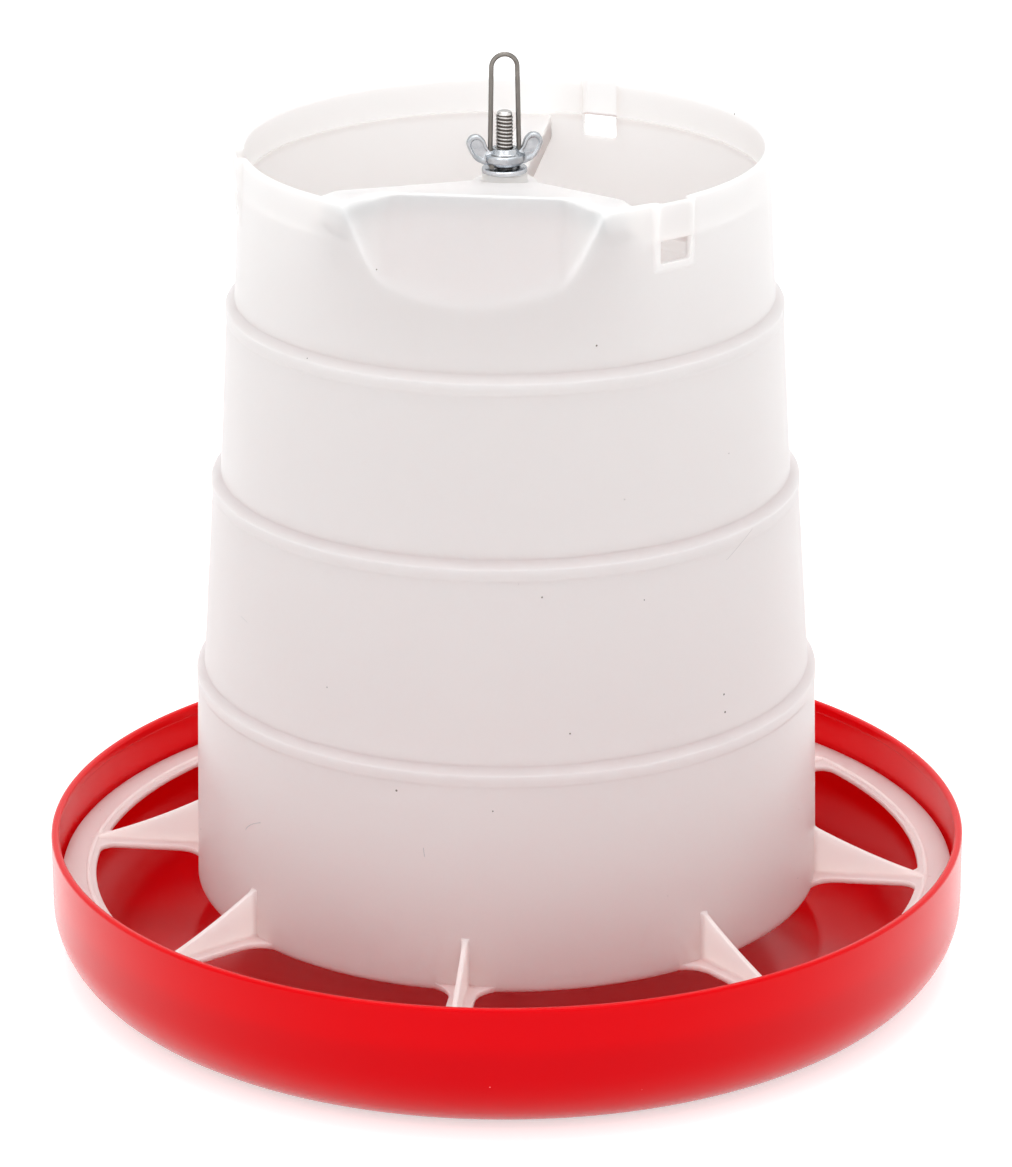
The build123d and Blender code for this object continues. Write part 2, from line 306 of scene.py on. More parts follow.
# Pocket in the front and ledge inside the rim
pocket_foot = 262.0
pocket_back_slope = 0.871
pocket_side_slope = 0.8
pocket_corner = 5.0
pocket_edge = 2.2
pocket_wall = 2.2
ledge_depth = 13.0
ledge_step = 0.9
ledge_run = 2.7

# Latches: a flat frame on the wall, with a window and a channel behind it
latch_angles = [radians(a) for a in (45, 165, 285)]
window_head = rim_level - ledge_depth
window_sill = window_head - 8.3
window_half = 6.5
window_corner = 1.5
frame_half = 9.3
frame_blend = 2.0
frame_height = 23.9
frame_face = 94.6
frame_taper = 0.86
channel_wall = 1.0


def between(low, high, level):
    """Radius and height at a level on the line between two corners."""
    return low[0] + (high[0] - low[0]) * (level - low[1]) / (high[1] - low[1]), level


def barrel_rows():
    """Outer radius and height of each ring of points, from the foot to the rim."""
    rows = rounded([(r, z, bead_round) for r, z in barrel_corners], steps=2, closed=False)[1:-1]
    for low, high in zip(barrel_corners, barrel_corners[1:]):
        if high[1] - low[1] > shortest_tier:
            levels = [level for gap in (1.2, 6.0) for level in (low[1] + gap, high[1] - gap)]
            rows += [between(low, high, level) for level in levels if level < pocket_foot - 1]
    top = rim_level - rim_round
    levels = list(np.arange(pocket_foot, window_sill - 3.2, fine_step))
    levels += [window_sill + rise for rise in (-3.0, -2.6, -2.2, -1.5, -0.75, 0, 0.5, 1.0, 1.5)]
    levels += list(np.arange(window_sill + 2.25, window_head - 0.4, fine_step))
    levels += [window_head - 0.02, window_head + 0.12]
    levels += list(np.arange(window_head + 0.8, top - 0.4, fine_step)) + [top]
    rows += [between(*barrel_corners[-2:], level) for level in levels]
    rows.append((barrel_foot_radius, barrel_foot + foot_round))
    for level in (grill_top + 1.2, 43.0, fin_head - 0.6, fin_head + 0.6, fin_head + 3.0):
        rows.append(between(*barrel_corners[:2], level))
    return sorted(rows, key=lambda row: row[1])


def barrel_columns():
    """Angle of each column of points from the front, finer at the pocket and at the latches."""
    offsets = [0, 1.6, 3.2, 4.25, 5.0, 5.75, 6.5, 6.8, 7.2, 7.6, 8.0, 8.5, 9.0, 9.5]
    special = []
    for angle in latch_angles:
        for offset in offsets:
            special += [angle + offset / rim_radius, angle - offset / rim_radius]
    special = sorted(set(round(a % (2 * pi), 7) for a in special))
    front = radians(37)
    plain = list(np.arange(-front, front, fine_step / rim_radius))
    plain += list(np.arange(front, 2 * pi - front, radians(2.0)))
    plain = [a % (2 * pi) for a in plain]
    clear = 0.5 / rim_radius
    plain = [a for a in plain if min(abs(a - s) for s in special) > clear]
    return np.array(sorted(plain + special))


def smooth_least(a, b, reach):
    """The lesser of two surfaces, with the corner between them rounded."""
    overlap = np.maximum(reach - np.abs(a - b), 0) / reach
    return np.minimum(a, b) - overlap * overlap * reach / 4


def ease(value):
    """Soft step from 0 to 1."""
    value = np.clip(value, 0, 1)
    return value * value * (3 - 2 * value)


def pocket_face(angle, depth, liner):
    """Distance from the axis to the pocket's back and sides, behind a liner."""
    turn = np.where(angle > pi, 2 * pi - angle, angle)
    back = (pocket_back - liner + pocket_back_slope * depth) / np.maximum(np.cos(turn), 0.2)
    lean = pocket_side_run * np.cos(turn) - np.sin(turn)
    least_lean, far_away = 0.02, 400
    open_side = pocket_side + pocket_side_slope * depth - liner * sqrt(1 + pocket_side_run**2)
    side = np.where(lean > least_lean, open_side / np.maximum(lean, least_lean), far_away)
    return -smooth_least(-back, -side, pocket_corner)


def latch_place(angle, centre):
    """Distance sideways from a latch's middle, and the turn that goes with it."""
    turn = (angle - centre + pi) % (2 * pi) - pi
    return np.where(np.abs(turn) < 0.5, rim_radius * np.sin(turn), 99), turn


def barrel_sheets(rows, angles):
    """Outer and inner radius of the wall at each row and column."""
    outer = np.array([r for r, z in rows])[:, None] + 0 * angles[None, :]
    inner = outer - hopper_wall
    level = np.array([z for r, z in rows])[:, None]
    angle = angles[None, :]
    depth = rim_level - level
    high = level >= pocket_foot
    ledge = ease((level - (window_head - ledge_run)) / ledge_run) * (depth > ledge_depth)
    in_latch = 0 * angle
    face = frame_face - depth / frame_height * frame_taper
    for centre in latch_angles:
        across, turn = latch_place(angle, centre)
        plane = face / np.cos(np.clip(turn, -0.3, 0.3))
        share = ease((frame_half - np.abs(across)) / frame_blend)
        share = share * ease((frame_height + 0.35 - depth) / 0.7)
        outer = np.where(high, outer + np.maximum(plane - outer, 0) * share, outer)
        channel = ease((window_half + 0.3 - np.abs(across)) / 0.55) * (depth < ledge_depth)
        inner = np.where(high, inner + (plane - channel_wall - inner) * channel, inner)
        in_latch = np.maximum(in_latch, np.abs(across) < window_half + 0.1)
    hollow = pocket_face(angle, depth, 0)
    lined = pocket_face(angle, depth, pocket_wall)
    bare = np.clip((lined - inner) / 1.5 + 1, 0, 1)
    inner = np.where(high, inner - ledge_step * ledge * (1 - in_latch) * bare, inner)
    outer = np.where(high, smooth_least(outer, hollow, pocket_edge), outer)
    inner = np.where(high, smooth_least(inner, lined, pocket_edge), inner)
    return outer, inner


def barrel_rings(rows, outer, inner):
    """Rings of radii and their heights: up the outside, over the rim, down the inside, under the foot."""
    levels = [z for r, z in rows]
    rings = list(zip(outer, levels))
    for share, rise in ((0.13, 0.62), (0.3, 0.92), (0.5, 1.0), (0.7, 0.92), (0.87, 0.62)):
        rings.append((outer[-1] + (inner[-1] - outer[-1]) * share, rim_level - rim_round * (1 - rise)))
    inner_drop = hopper_wall * tan(pi / 8)
    for radii, level in zip(inner[::-1], levels[::-1]):
        drop = inner_drop if barrel_foot + 3 < level < pocket_foot - 3 else 0
        rings.append((radii, level - drop))
    for share, drop in ((0.87, 0.75), (0.5, 1.0), (0.13, 0.75)):
        rings.append((outer[0] + (inner[0] - outer[0]) * share, levels[0] - foot_round * drop))
    return rings


def ring_points(radii, level, angles, places):
    """Points of one ring, drawn in to arcs at the windows' lower corners."""
    turn = angles
    heights = np.full(len(angles), level)
    for centre, across in zip(latch_angles, places):
        side = np.abs(across) - (window_half - window_corner)
        down = window_sill + window_corner - heights
        reach = window_corner + 1e-3
        near = (side > 0) & (down > 0) & (side <= reach) & (down <= reach)
        length = np.maximum(np.hypot(side, down), 1e-9)
        scale = np.where(near, np.maximum(side, down) / length, 1)
        heights = np.where(near, window_sill + window_corner - down * scale, heights)
        moved = np.sign(across) * (window_half - window_corner + side * scale)
        turn = np.where(near, centre + np.arcsin(np.clip(moved / rim_radius, -1, 1)), turn)
    return zip(radii * np.sin(turn), -radii * np.cos(turn), heights)


def make_barrel():
    """Barrel as one closed grid, with cells left out and edged where the windows are."""
    rows = barrel_rows()
    angles = barrel_columns()
    rings = barrel_rings(rows, *barrel_sheets(rows, angles))
    places = [latch_place(angles, centre)[0] for centre in latch_angles]
    points = [point for radii, level in rings for point in ring_points(radii, level, angles, places)]
    row_count, column_count = len(rows), len(angles)
    inside_foot = len(rings) - 4

    def in_window(row, column):
        if not window_sill - 0.01 < rows[row][1] < window_head - 0.3:
            return False
        middle = (angles[column] + angles[(column + 1) % column_count]) / 2
        return any(abs(latch_place(middle, centre)[0]) < window_half for centre in latch_angles)

    def outside(row, column):
        return row * column_count + column

    def inside(row, column):
        return outside(inside_foot - row, column)

    cells = [(row, column) for row in range(row_count - 1) for column in range(column_count)]
    windows = {cell for cell in cells if in_window(*cell)}
    faces = []
    for ring in range(len(rings)):
        above = (ring + 1) % len(rings)
        row = ring if ring < row_count - 1 else inside_foot - 1 - ring
        for column in range(column_count):
            if (row, column) not in windows:
                beside = (column + 1) % column_count
                corners = ((ring, column), (ring, beside), (above, beside), (above, column))
                faces.append(tuple(outside(*corner) for corner in corners))
    for row, column in windows:
        before, beside = (column - 1) % column_count, (column + 1) % column_count
        sides = {
            (row - 1, column): ((row, column), (row, beside)),
            (row + 1, column): ((row + 1, column), (row + 1, beside)),
            (row, before): ((row, column), (row + 1, column)),
            (row, beside): ((row, beside), (row + 1, beside)),
        }
        for neighbour, (a, b) in sides.items():
            if neighbour not in windows:
                faces.append((outside(*a), outside(*b), inside(*b), inside(*a)))
    return make_piece("Hopper", points, faces)


# Grill: ring and spokes with broad feet
spoke_half = 4.5
spoke_foot_round = 10.0
spoke_head_round = 5.0
ring_inner = 150.2
ring_outer = 162.4
ring_bead = 153.0
bead_radius = 0.9
gap_inner = 112.4
grill_inner = 112.0
fin_count = 8


def spoke_corner(circle, radius, side):
    """Arc between a spoke's edge and a circle, in the spoke's own frame."""
    reach = circle + side * radius
    middle = Vector((sqrt(reach**2 - (spoke_half + radius) ** 2), spoke_half + radius))
    return arc_points(middle, Vector((middle.x, spoke_half)), middle * (circle / reach), 6)


def turned(points, angle):
    """Flat points turned about the rod's axis."""
    return [(x * cos(angle) - y * sin(angle), x * sin(angle) + y * cos(angle)) for x, y in points]


def arc_between(radius, start, end, step=radians(1.8)):
    """Points of an arc about the axis, without its ends."""
    count = max(int((end - start) / step), 2)
    turns = [start + (end - start) * i / count for i in range(1, count)]
    return [(radius * cos(a), radius * sin(a)) for a in turns]


def feed_gap(index):
    """Outline of the opening between two spokes."""
    start = -pi / 2 + 2 * pi * index / fin_count
    end = start + 2 * pi / fin_count
    foot = spoke_corner(gap_inner, spoke_foot_round, 1)
    head = spoke_corner(ring_inner, spoke_head_round, -1)
    other_foot = [(x, -y) for x, y in foot]
    other_head = [(x, -y) for x, y in head]
    low = [turned(foot, start), turned(other_foot, end)]
    high = [turned(head, start), turned(other_head, end)]

    def bearing(point):
        return (np.arctan2(point[1], point[0]) - start) % (2 * pi) + start

    inner = arc_between(gap_inner, bearing(low[0][-1]), bearing(low[1][-1]))
    outer = arc_between(ring_inner, bearing(high[0][-1]), bearing(high[1][-1]))
    return low[0] + inner + low[1][::-1] + high[1] + outer[::-1] + high[0][::-1]


def ring_outline(radius, count, middle=(0, 0)):
    """Evenly spaced points of a whole circle."""
    turns = [2 * pi * i / count for i in range(count)]
    return [(middle[0] + radius * cos(a), middle[1] + radius * sin(a)) for a in turns]


def make_grill():
    """Flat ring with its spokes, cut from one sheet."""
    outlines = [ring_outline(ring_outer, 216), ring_outline(grill_inner, 120)]
    outlines += [feed_gap(i) for i in range(fin_count)]
    return cut_sheet("Grill", outlines, barrel_foot, grill_top, 0.35)


# Fins: thin uprights on the spokes, with a hollow top edge and soft roots
fin_root = 112.0
fin_tip = 155.2
fin_rise = fin_head - grill_top
fin_hollow = 1.2
fin_half = 1.0
fin_thinning = 0.15
fin_flare = 1.0
fin_edge = 0.55
fin_steps = 3


def make_fin():
    """One fin along -Y, as a skin of cross-sections from the barrel to its tip."""
    stations = [0, 0.6, 1.0, 1.5, 2.1, 2.8] + list(np.linspace(4, fin_tip - fin_root, 16))
    points = []
    for run in stations:
        share = run / (fin_tip - fin_root)
        chord = grill_top + fin_rise * (1 - share)
        top = max(chord - fin_hollow * 4 * share * (1 - share), grill_top + 0.05)
        clear = max(1 - max(run - 0.9, 0) / 1.5, 0)
        root = 0.8 * (1 - sqrt(max(1 - clear**2, 0)))
        half = fin_half - fin_thinning * (1 - share)
        height = top - grill_top
        flare = min(fin_flare, height * 0.5)
        soft = min(fin_edge, height * 0.4, half * 0.6)
        bends = [pi / 2 * step / fin_steps for step in range(fin_steps + 1)]
        side = [(half + root + flare * (1 - sin(a)), grill_top + flare * (1 - cos(a))) for a in bends]
        side += [(half + root - soft * (1 - cos(a)), top - soft * (1 - sin(a))) for a in bends]
        ring = [(side[0][0], grill_top - 0.8)] + side
        ring += [(-x, z) for x, z in reversed(ring)]
        points.append([(x, -(fin_root + run), z) for x, z in ring])
    count = len(points[0])
    flat = [p for section in points for p in section]
    faces = []
    for i in range(len(points) - 1):
        for j in range(count):
            k = (j + 1) % count
            faces.append((i * count + j, i * count + k, (i + 1) * count + k, (i + 1) * count + j))
    faces.append(tuple(range(count)))
    faces.append(tuple((len(points) - 1) * count + j for j in reversed(range(count))))
    return make_piece("Fin", flat, faces)


def round_tree():
    """Copies of one piece, evenly spaced about the rod."""
    sizes = {"Piece": "Object", "Count": "Int", "Material": "Material"}
    tree, given, outlet = new_tree("Copies about the rod", sizes)
    spots = add(tree, "GeometryNodePoints", {"Count": given.outputs["Count"]})
    step = add(tree, "ShaderNodeMath", {0: 2 * pi, 1: given.outputs["Count"]}, operation="DIVIDE")
    index = tree.nodes.new("GeometryNodeInputIndex")
    turn = add(tree, "ShaderNodeMath", {0: index.outputs[0], 1: step.outputs[0]}, operation="MULTIPLY")
    spin = add(tree, "ShaderNodeCombineXYZ", {"Z": turn.outputs[0]})
    source = add(tree, "GeometryNodeObjectInfo", {"Object": given.outputs["Piece"]})
    copies = add(
        tree,
        "GeometryNodeInstanceOnPoints",
        {"Points": spots.outputs[0], "Instance": source.outputs["Geometry"], "Rotation": spin.outputs[0]},
    )
    finish_tree(tree, outlet, copies.outputs[0], given)
    return tree


# Bridge: a fan that falls from the rim to a hub, with flanges under its edges and a tail
hub_radius = 11.5
tail_half = 5.5
fan_run = 0.551
fan_reach = 66.4
fan_clearance = 1.1
fan_rise = 14.1
bridge_round = 9.0
plate_thickness = 2.2
flange_wall = 1.8
flange_depth = 9.0
boss_radius = 8.0
boss_flare = 9.6


def solve_circle(offset, slope, radius):
    """Where the line x = offset + slope * t crosses the circle, t measured towards the front."""
    a, b, c = 1 + slope**2, 2 * offset * slope, offset**2 - radius**2
    t = (-b + sqrt(b * b - 4 * a * c)) / (2 * a)
    return offset + slope * t, -t


def fan_outline(inset):
    """The bridge seen from above, drawn in by an inset: fan, hub and tail."""
    edge = rim_radius - 0.9 - inset
    hub = hub_radius - inset
    tail = tail_half - inset
    meet = solve_circle(hub_radius - inset * sqrt(1 + fan_run**2), fan_run, edge)
    line = pocket_side - fan_clearance - inset * sqrt(1 + pocket_side_run**2)
    corner = solve_circle(-line, pocket_side_run, edge)
    start = np.arctan2(-meet[1], meet[0])
    end = np.arctan2(-corner[1], corner[0])
    back = fan_reach - inset
    right = [(tail, edge, 0), (tail, sqrt(hub**2 - tail**2) + 4, bridge_round)]
    right += [(hub * cos(a), hub * sin(a), 0) for a in np.linspace(0.75, 0.12, 6)]
    rim = [edge * Vector((cos(a), -sin(a))) for a in np.linspace(start, end, 6)]
    right += [(point.x, point.y, 0) for point in rim]
    right.append((pocket_side_run * back - line, -back, bridge_round))
    left = [(-x, y, r) for x, y, r in reversed(right)]
    return rounded(right + left, steps=6)


def slope_sheet(piece):
    """Raises a flat sheet along the fan, from the hub's level to the rim's."""
    bm = bmesh.new()
    bm.from_mesh(piece.data)
    run = pocket_back * MM
    for y in (0, -0.033, -run):
        everything = bm.verts[:] + bm.edges[:] + bm.faces[:]
        bmesh.ops.bisect_plane(bm, geom=everything, plane_co=(0, y, 0), plane_no=(0, 1, 0), dist=1e-6)
    for vert in bm.verts:
        share = min(max(-vert.co.y / run, 0), 1)
        vert.co.z += fan_rise * MM * share
    bm.to_mesh(piece.data)
    bm.free()
    return piece


def make_bridge():
    """Plate, flanges and boss, and the bore to be cut through them."""
    plate = cut_sheet("Plate", [fan_outline(0)], bridge_level - plate_thickness, bridge_level, 0.35)
    walls = [fan_outline(0.02), fan_outline(flange_wall)]
    flanges = cut_sheet("Flanges", walls, bridge_level - flange_depth, bridge_level - 0.6, 0.3)
    boss = rounded(
        [
            (2.0, boss_bottom, 0),
            (2.0, boss_top, 0),
            (boss_radius, boss_top, 0.5),
            (boss_radius, bridge_level, 1.4),
            (boss_flare, bridge_level, 0),
            (boss_flare, bridge_level - 2.0, 0),
            (boss_radius, bridge_level - 2.0, 0),
            (boss_radius, boss_bottom, 0.5),
        ]
    )
    low, high = boss_bottom - 5, boss_top + 5
    bore = [(0, low), (rod_hole, low), (rod_hole, high), (0, high)]
    sheets = slope_sheet(flanges), slope_sheet(plate)
    return *sheets, lathe("Boss", boss, 64), lathe("Bore", bore, 48)


def make_hopper(finish):
    """Barrel, grill, fins and bridge as one moulding."""
    hopper = make_barrel()
    grill = make_grill()
    bead = ring_outline(bead_radius, 12, (ring_bead, grill_top))
    fin = make_fin()
    fins = grow("Fins", round_tree(), Piece=fin, Count=fin_count, Material=finish)
    bpy.data.objects.remove(fin)
    flanges, plate, boss, bore = make_bridge()
    weld(hopper, [grill, lathe("Bead", bead, 180), fins, flanges, plate, boss])
    weld(hopper, [bore], "DIFFERENCE")
    soften_edges(hopper, 52)
    return hopper


# Rod with a rolled thread, 20 threads to the inch
thread_pitch = 1.27
core_radius = 2.72
thread_middle = 2.62
thread_depth = 0.44


def thread_tree():
    sizes = {name: "Float" for name in ("Height", "Turns", "Radius", "Depth")} | {"Material": "Material"}
    tree, given, outlet = new_tree("Rolled thread", sizes)
    spiral = add(
        tree,
        "GeometryNodeCurveSpiral",
        {
            "Resolution": 20,
            "Rotations": given.outputs["Turns"],
            "Start Radius": given.outputs["Radius"],
            "End Radius": given.outputs["Radius"],
            "Height": given.outputs["Height"],
        },
    )
    steady = add(tree, "GeometryNodeSetCurveNormal", {"Curve": spiral.outputs[0]}, mode="Z_UP")
    ridge = add(
        tree, "GeometryNodeCurvePrimitiveCircle", {"Resolution": 6, "Radius": given.outputs["Depth"]}
    )
    made = add(
        tree,
        "GeometryNodeCurveToMesh",
        {"Curve": steady.outputs[0], "Profile Curve": ridge.outputs[0], "Fill Caps": True},
    )
    finish_tree(tree, outlet, made.outputs[0], given)
    return tree


def make_rod(finish):
    lower = [(0, rod_bottom, 0), (core_radius, rod_bottom, 0.8)]
    upper = [(core_radius, rod_top, 1.2), (0, rod_top, 0)]
    rod = lathe("Threaded_rod", rounded(lower + upper, steps=6), 40)
    wound = (rod_top - rod_bottom - 3.0) * MM
    thread = grow(
        "Thread",
        thread_tree(),
        Height=wound,
        Turns=wound / (thread_pitch * MM),
        Radius=thread_middle * MM,
        Depth=thread_depth * MM,
        Material=finish,
    )
    for vert in thread.data.vertices:
        vert.co.z += (rod_bottom + 1.3) * MM
    join(rod, [thread])
    return rod


# Washers, nuts and wing nut
washer_hole = 3.55
washer_radius = 7.95
nut_flat = 5.55
nut_countersink = 0.45
wing_half = 1.3
hollow_depth = 0.45
hollow_share = 0.68


def make_washer(level):
    """Punched washer, rounder on its upper side."""
    top = level + washer_thickness
    section = [
        (washer_hole, level, 0.15),
        (washer_radius, level, 0.2),
        (washer_radius, top, 0.55),
        (washer_hole, top, 0.35),
    ]
    return lathe("Washer", rounded(section, steps=3), 72)


def make_nut(level):
    """Hexagon nut, with the arcs that a turned chamfer leaves on its flats."""
    count = 96
    drop = tan(radians(30))
    top = level + nut_height
    points = []
    for i in range(count):
        angle = 2 * pi * i / count
        wrap = (angle + pi / 6) % (pi / 3) - pi / 6
        reach = min(nut_flat / cos(wrap), nut_flat * 1.12)
        cut = 0.1 + (reach - nut_flat) * drop
        ring = [
            (nut_bore, level + nut_countersink),
            (nut_bore + 0.44, level),
            (nut_flat - 0.2, level),
            (reach, level + cut),
            (reach, top - cut),
            (nut_flat - 0.2, top),
            (nut_bore + 0.44, top),
            (nut_bore, top - nut_countersink),
        ]
        points += [(r * cos(angle), r * sin(angle), z) for r, z in ring]
    size = len(points) // count
    faces = []
    for i in range(count):
        for j in range(size):
            k = (j + 1) % size
            n = (i + 1) % count
            faces.append((i * size + j, i * size + k, n * size + k, n * size + j))
    nut = make_piece("Nut", points, faces)
    soften_edges(nut, 28)
    return nut


def make_pair(levels, maker):
    """Two equal pieces of hardware as one piece."""
    first, second = (maker(level) for level in levels)
    join(first, [second])
    soften_edges(first, 28)
    return first


wing_outline = [
    (3.2, -0.9, 0),
    (7.2, -0.9, 2.5),
    (10.5, 0.8, 4.5),
    (12.4, 3.9, 4.5),
    (13.6, 7.0, 2.6),
    (12.2, 9.9, 2.6),
    (9.0, 10.0, 2.6),
    (7.0, 8.0, 3.5),
    (6.1, 5.2, 4.0),
    (4.6, 3.4, 1.5),
    (3.2, 3.6, 0),
]


def stand_up(piece, turn):
    """Stands a flat wing upright in the nut's frame, on one side of it."""
    piece.data.transform(Matrix.Rotation(turn, 4, "Z") @ Matrix.Rotation(pi / 2, 4, "X"))
    return piece


def make_wing_nut():
    """Turned hub with two hollowed wings, melted together as in a casting."""
    hub = rounded(
        [
            (0, -1.2, 0),
            (5.7, -1.2, 1.0),
            (6.9, 0.5, 1.5),
            (6.9, 2.6, 0.7),
            (4.9, 3.4, 1.2),
            (4.6, 5.0, 0.5),
            (0, 5.0, 0),
        ]
    )
    nut = lathe("Wing_nut", hub, 64)
    outline = rounded(wing_outline, steps=6)
    middle = Vector((9.6, 5.4))
    inset = [tuple(middle + (Vector(p) - middle) * hollow_share) for p in outline if p[0] > 4.5]
    wings, hollows = [], []
    for turn in (0, pi):
        wings.append(stand_up(cut_sheet("Wing", [outline], -wing_half, wing_half, 0.5), turn))
        for floor in (-wing_half + hollow_depth, wing_half - hollow_depth):
            low, high = sorted((floor, floor + copysign(0.6, floor)))
            hollows.append(stand_up(cut_sheet("Hollow", [inset], low, high, 0.2), turn))
    weld(nut, wings)
    bore = lathe("Bore", [(0, -3), (nut_bore, -3), (nut_bore, 8), (0, 8)], 40)
    weld(nut, hollows + [bore], "DIFFERENCE")
    melt = nut.modifiers.new("melt", "REMESH")
    melt.mode = "VOXEL"
    melt.voxel_size = 0.2 * MM
    calm = nut.modifiers.new("calm", "SMOOTH")
    calm.factor = 0.5
    calm.iterations = 6
    settle(nut)
    nut.data.transform(Matrix.Rotation(wing_turn, 4, "Z"))
    nut.data.transform(Matrix.Translation((0, 0, wing_nut_level * MM)))
    nut.data.shade_smooth()
    return nut


# Wire loop: one round wire along a bent path
def wire_tree():
    sizes = {"Path": "Object", "Thickness": "Float", "Sides": "Int", "Material": "Material"}
    tree, given, outlet = new_tree("Round wire along a path", sizes)
    path = add(tree, "GeometryNodeObjectInfo", {"Object": given.outputs["Path"]})
    half = add(tree, "ShaderNodeMath", {0: given.outputs["Thickness"], 1: 0.5}, operation="MULTIPLY")
    ring = add(
        tree,
        "GeometryNodeCurvePrimitiveCircle",
        {"Resolution": given.outputs["Sides"], "Radius": half.outputs[0]},
    )
    made = add(
        tree,
        "GeometryNodeCurveToMesh",
        {"Curve": path.outputs["Geometry"], "Profile Curve": ring.outputs[0], "Fill Caps": True},
    )
    finish_tree(tree, outlet, made.outputs[0], given)
    return tree


wire_thickness = 1.7
wire_height = 40.7
wire_bow = 4.55
wire_foot = 4.2


def make_wire(finish):
    """Loop with straight legs that open a little and feet that turn out under the wing nut."""
    level = wing_nut_level - wire_thickness / 2
    bow_level = level + wire_height - wire_bow - wire_thickness
    spread_out = (bow_level - level) * tan(radians(1.0))
    side = [(wire_foot, level, 0), (0, level, 1.4), (0, bow_level, 0)]
    leg = []
    for y, z in rounded(side, steps=6, closed=False):
        leg.append((wire_bow + spread_out * (bow_level - z) / (bow_level - level), y, z))
    turns = np.linspace(0, pi, 25)[1:-1]
    arch = [(wire_bow * cos(a), 0, bow_level + wire_bow * sin(a)) for a in turns]
    other = [(-x, -y, z) for x, y, z in reversed(leg)]
    route = leg[:-1] + [(wire_bow, 0, bow_level)] + arch + [(-wire_bow, 0, bow_level)] + other[1:]
    curve = bpy.data.curves.new("Wire path", "CURVE")
    curve.dimensions = "3D"
    spline = curve.splines.new("POLY")
    spline.points.add(len(route) - 1)
    for point, (x, y, z) in zip(spline.points, route):
        bent = Matrix.Rotation(wing_turn, 4, "Z") @ Vector((x * MM, y * MM, z * MM))
        point.co = (*bent, 1)
    holder = add_piece("Wire path", curve)
    thickness = wire_thickness * MM
    wire = grow("Wire_hanger", wire_tree(), Path=holder, Thickness=thickness, Sides=20, Material=finish)
    bpy.data.objects.remove(holder)
    return wire


# Finishes
def new_group(name, inputs, outputs):
    """Empty shader group; an input without a value takes a position."""
    group = bpy.data.node_groups.new(name, "ShaderNodeTree")
    for socket, value in inputs.items():
        kind = "NodeSocketVector" if value is None else "NodeSocketFloat"
        made = group.interface.new_socket(socket, in_out="INPUT", socket_type=kind)
        if value is not None:
            made.default_value = value
    for socket in outputs:
        group.interface.new_socket(socket, in_out="OUTPUT", socket_type="NodeSocketFloat")
    return group, group.nodes.new("NodeGroupInput"), group.nodes.new("NodeGroupOutput")


def make_surface_group():
    """Unevenness of a surface: broad waves and a fine grain, both from 0 to 1."""
    inputs = {"Place": None, "Broad": 40, "Fine": 900}
    group, given, outlet = new_group("Uneven surface", inputs, ["Waves", "Grain"])
    for output, size, detail in (("Waves", "Broad", 3), ("Grain", "Fine", 2)):
        noise = add(
            group,
            "ShaderNodeTexNoise",
            {"Vector": given.outputs["Place"], "Scale": given.outputs[size], "Detail": detail},
        )
        group.links.new(noise.outputs["Fac"], outlet.inputs[output])
    return group


def make_marks_group():
    """Handling marks: a few specks and a few fine scratches, 1 where one lies."""
    inputs = {"Place": None, "Spacing": 24, "Speck": 0.018, "Share": 0.3}
    group, given, outlet = new_group("Specks and scratches", inputs, ["Specks", "Scratches"])

    def math(operation, first, second):
        return add(group, "ShaderNodeMath", {0: first, 1: second}, operation=operation).outputs[0]

    def noise(scale):
        links = {"Vector": given.outputs["Place"], "Scale": scale, "Detail": 0}
        return add(group, "ShaderNodeTexNoise", links).outputs["Fac"]

    links = {"Vector": given.outputs["Place"], "Scale": given.outputs["Spacing"]}
    cells = add(group, "ShaderNodeTexVoronoi", links)
    chance = add(group, "ShaderNodeSeparateColor", {"Color": cells.outputs["Color"]})
    size = math("MULTIPLY", chance.outputs["Green"], given.outputs["Speck"])
    near = math("LESS_THAN", cells.outputs["Distance"], size)
    chosen = math("LESS_THAN", chance.outputs["Red"], given.outputs["Share"])
    group.links.new(math("MULTIPLY", near, chosen), outlet.inputs["Specks"])

    line_spacing, line_width = 11.0, 0.0005
    patch_spacing, patch_least = 58.0, 0.79
    side = math("SUBTRACT", noise(line_spacing), 0.5)
    away = add(group, "ShaderNodeMath", {0: side}, operation="ABSOLUTE").outputs[0]
    on_line = math("LESS_THAN", away, line_width)
    in_patch = math("GREATER_THAN", noise(patch_spacing), patch_least)
    group.links.new(math("MULTIPLY", on_line, in_patch), outlet.inputs["Scratches"])
    return group


surface_group = make_surface_group()
marks_group = make_marks_group()


def place_group(tree, group, **values):
    """A group laid on the piece's own coordinates, with these values."""
    holder = tree.nodes.new("ShaderNodeGroup")
    holder.node_tree = group
    place = tree.nodes.new("ShaderNodeTexCoord")
    tree.links.new(place.outputs["Object"], holder.inputs["Place"])
    for name, value in values.items():
        holder.inputs[name].default_value = value
    return holder


def spread(tree, value, low, high):
    """A 0 to 1 value stretched between two numbers."""
    return add(tree, "ShaderNodeMapRange", {"Value": value, "To Min": low, "To Max": high}).outputs[0]


def blend(tree, share, first, second):
    """Colour between two colours by a mask."""
    mix = tree.nodes.new("ShaderNodeMix")
    mix.data_type = "RGBA"
    if isinstance(share, bpy.types.NodeSocket):
        tree.links.new(share, mix.inputs["Factor"])
    for socket, color in ((mix.inputs[6], first), (mix.inputs[7], second)):
        if isinstance(color, bpy.types.NodeSocket):
            tree.links.new(color, socket)
        else:
            socket.default_value = (*color, 1)
    return mix.outputs[2]


